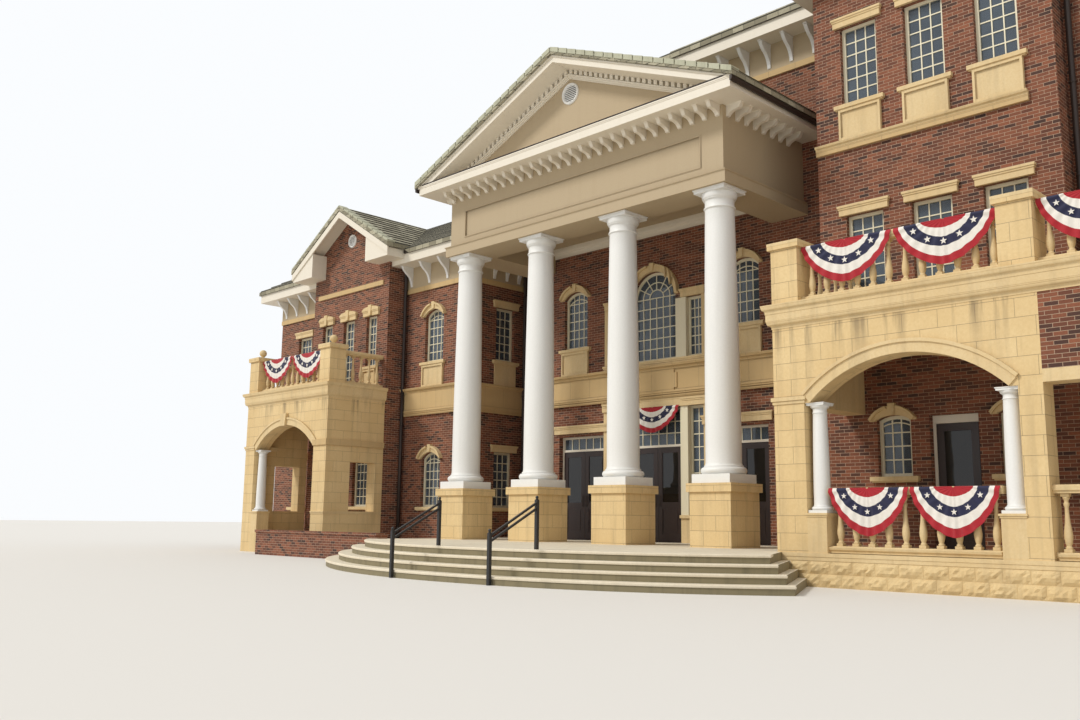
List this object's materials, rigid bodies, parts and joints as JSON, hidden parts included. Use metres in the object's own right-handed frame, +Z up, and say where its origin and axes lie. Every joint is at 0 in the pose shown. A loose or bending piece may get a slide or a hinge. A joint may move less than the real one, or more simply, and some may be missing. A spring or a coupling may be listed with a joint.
{
  "type": "town hall building",
  "caption": "Brick town hall with a columned, gabled portico over curved steps, a gabled wing with an arched stone porch and a taller pavilion behind an arcaded porch.",
  "frame": {"origin": "on the ground, below the middle of the line of the portico columns", "axes": "+X to the right along the front, +Y back into the building, +Z up"},
  "size_m": [35.3, 15.8304, 15.6645],
  "materials": {
    "brick": "rough fired clay brick with pale mortar",
    "cast_stone": "smooth buff cast stone blocks",
    "rock_stone": "buff stone",
    "stucco": "smooth beige render",
    "white_paint": "white paint",
    "cream_paint": "cream paint",
    "roof_tile": "flat grey-green clay tiles",
    "concrete": "broom-finished concrete",
    "glass": "clear glass with dark rooms behind",
    "door_paint": "dark brown paint",
    "black_iron": "black paint",
    "bronze_metal": "dark bronze paint",
    "plaster": "plain floor",
    "bunting_cloth": "thin cloth"
  },
  "bodies": {
    "root": {"landing": "concrete", "upper_step": "concrete", "middle_step": "concrete", "lower_step": "concrete", "pedestals": "cast_stone", "columns": "white_paint", "entablature_front": "stucco", "entablature_sides": "stucco", "portico_ceiling": "stucco", "cornice": "cream_paint", "modillions": "cream_paint", "pediment_wall": "stucco", "round_vents": "cream_paint", "raking_cornice": "cream_paint", "portico_roof": "roof_tile", "centre_wall_base": "brick", "centre_wall_piers": "brick", "centre_wall_upper": "brick", "side_walls": "brick", "wing_front_walls": "brick", "wing_side_wall": "brick", "bay_front_wall": "brick", "return_walls": "brick", "back_walls": "brick", "pavilion_front_wall": "brick", "ground_floor": "plaster", "upper_floors": "plaster", "wing_roof": "roof_tile", "main_roof": "roof_tile", "eaves": "cream_paint", "eave_brackets": "cream_paint", "porch_arches": "cast_stone", "left_porch_walls": "cast_stone", "porch_columns": "white_paint", "porch_pedestals": "cast_stone", "porch_floors": "rock_stone", "right_porch_piers": "cast_stone", "right_porch_spandrel": "brick", "right_porch_lintels": "cast_stone", "balconies": "cast_stone", "balcony_piers": "cast_stone", "balcony_balustrades": "cast_stone", "porch_balustrades": "cast_stone", "belt_courses": "cast_stone", "window_heads": "cast_stone", "window_aprons": "cast_stone", "window_frames": "cream_paint", "window_glass": "glass", "door_frames": "cream_paint", "low_wall": "brick", "handrails": "black_iron", "downspouts": "bronze_metal", "bunting": "bunting_cloth"},
    "left_pair_left_door": {"left_pair_left_leaf": "door_paint"},
    "left_pair_right_door": {"left_pair_right_leaf": "door_paint"},
    "middle_pair_left_door": {"middle_pair_left_leaf": "door_paint"},
    "middle_pair_right_door": {"middle_pair_right_leaf": "door_paint"},
    "right_pair_left_door": {"right_pair_left_leaf": "door_paint"},
    "right_pair_right_door": {"right_pair_right_leaf": "door_paint"},
    "porch_door_door": {"porch_door_leaf": "door_paint"}
  },
  "joints": [
    {"name": "left_pair_left_hinge", "type": "hinge", "parent": "root", "child": "left_pair_left_door", "pos_m": [-3.392, 3.014, 0.588], "axis": [0, 0, -1], "range_deg": [0, 90]},
    {"name": "left_pair_right_hinge", "type": "hinge", "parent": "root", "child": "left_pair_right_door", "pos_m": [-1.808, 3.014, 0.588], "axis": [0, 0, 1], "range_deg": [0, 90]},
    {"name": "middle_pair_left_hinge", "type": "hinge", "parent": "root", "child": "middle_pair_left_door", "pos_m": [-0.792, 3.014, 0.588], "axis": [0, 0, -1], "range_deg": [0, 90]},
    {"name": "middle_pair_right_hinge", "type": "hinge", "parent": "root", "child": "middle_pair_right_door", "pos_m": [0.792, 3.014, 0.588], "axis": [0, 0, 1], "range_deg": [0, 90]},
    {"name": "right_pair_left_hinge", "type": "hinge", "parent": "root", "child": "right_pair_left_door", "pos_m": [1.808, 3.014, 0.588], "axis": [0, 0, -1], "range_deg": [0, 90]},
    {"name": "right_pair_right_hinge", "type": "hinge", "parent": "root", "child": "right_pair_right_door", "pos_m": [3.392, 3.014, 0.588], "axis": [0, 0, 1], "range_deg": [0, 90]},
    {"name": "porch_door_hinge", "type": "hinge", "parent": "root", "child": "porch_door_door", "pos_m": [8.262, 1.278, 0.588], "axis": [0, 0, -1], "range_deg": [0, 90]}
  ]
}
